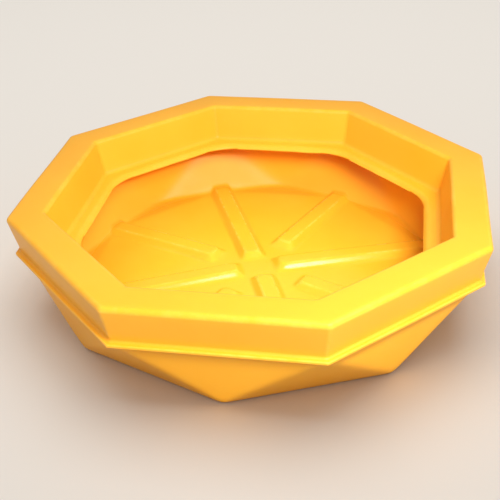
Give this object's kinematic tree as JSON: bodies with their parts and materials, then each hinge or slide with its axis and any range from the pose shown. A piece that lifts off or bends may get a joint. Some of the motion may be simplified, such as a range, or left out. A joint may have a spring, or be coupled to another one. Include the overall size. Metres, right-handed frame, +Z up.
{
  "type": "spill containment tray",
  "caption": "Octagonal yellow drum spill tray with a wide flat rim, an inner ledge and a deep ribbed sump, moulded in one hollow skin.",
  "frame": {"origin": "centre of the underside, on the ground", "axes": "+Z up through the opening; a flat side of the rim faces each of +X, -X, +Y and -Y"},
  "size_m": [0.8038, 0.8038, 0.195],
  "materials": {
    "moulded_body": "satin, faint orange peel"
  },
  "bodies": {
    "root": {"trim_lip": "moulded_body", "skirt": "moulded_body", "rim_deck": "moulded_body", "inner_wall": "moulded_body", "grate_ledge": "moulded_body", "opening_lip": "moulded_body", "sump_wall": "moulded_body", "sump_floor": "moulded_body", "floor_rib_1": "moulded_body", "floor_rib_2": "moulded_body", "floor_rib_3": "moulded_body", "floor_rib_4": "moulded_body", "floor_rib_5": "moulded_body", "floor_rib_6": "moulded_body", "floor_rib_7": "moulded_body", "floor_rib_8": "moulded_body"}
  },
  "joints": []
}
